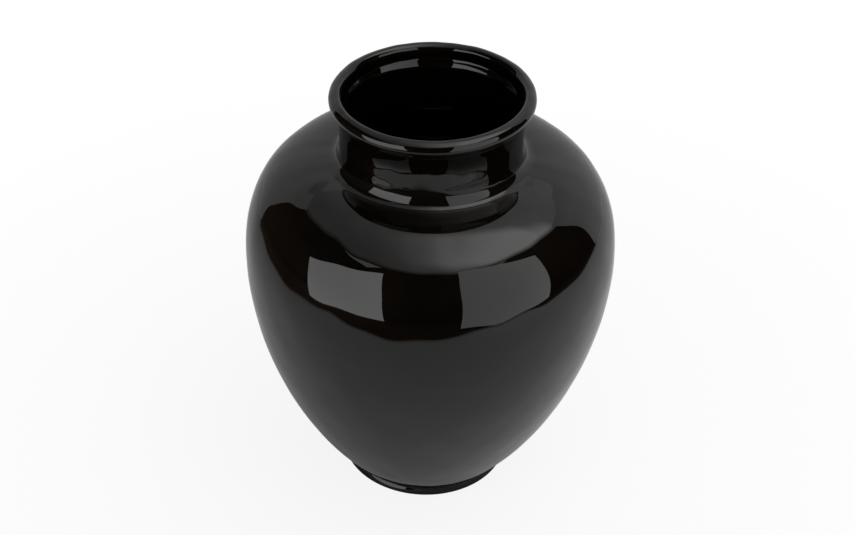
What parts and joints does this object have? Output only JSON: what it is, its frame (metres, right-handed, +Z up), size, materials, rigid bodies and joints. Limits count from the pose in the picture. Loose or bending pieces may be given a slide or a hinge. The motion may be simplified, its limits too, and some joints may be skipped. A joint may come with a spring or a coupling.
{
  "type": "vase",
  "caption": "Ovoid glazed ceramic vase with a broad high shoulder, short waisted neck, rolled lip and low foot ring, open at the top to hold water and stems.",
  "frame": {"origin": "middle of the standing face, at the bottom of the vase on its turning axis", "axes": "+Z up along the turning axis; the picture is taken from -Y, with +X to its right"},
  "size_m": [0.248, 0.248, 0.3],
  "materials": {
    "stoneware": "bare fired clay",
    "slip": "fired luting slip",
    "black_glaze": "high gloss"
  },
  "bodies": {
    "root": {"foot_ring": "stoneware", "lower_body": "stoneware", "upper_body": "stoneware", "neck_collar": "stoneware", "rim_roll": "stoneware", "foot_slip_seam": "slip", "belly_slip_seam": "slip", "neck_slip_seam": "slip", "rim_slip_seam": "slip", "outer_glaze": "black_glaze", "liner_glaze": "black_glaze", "base_glaze": "black_glaze"}
  },
  "joints": []
}
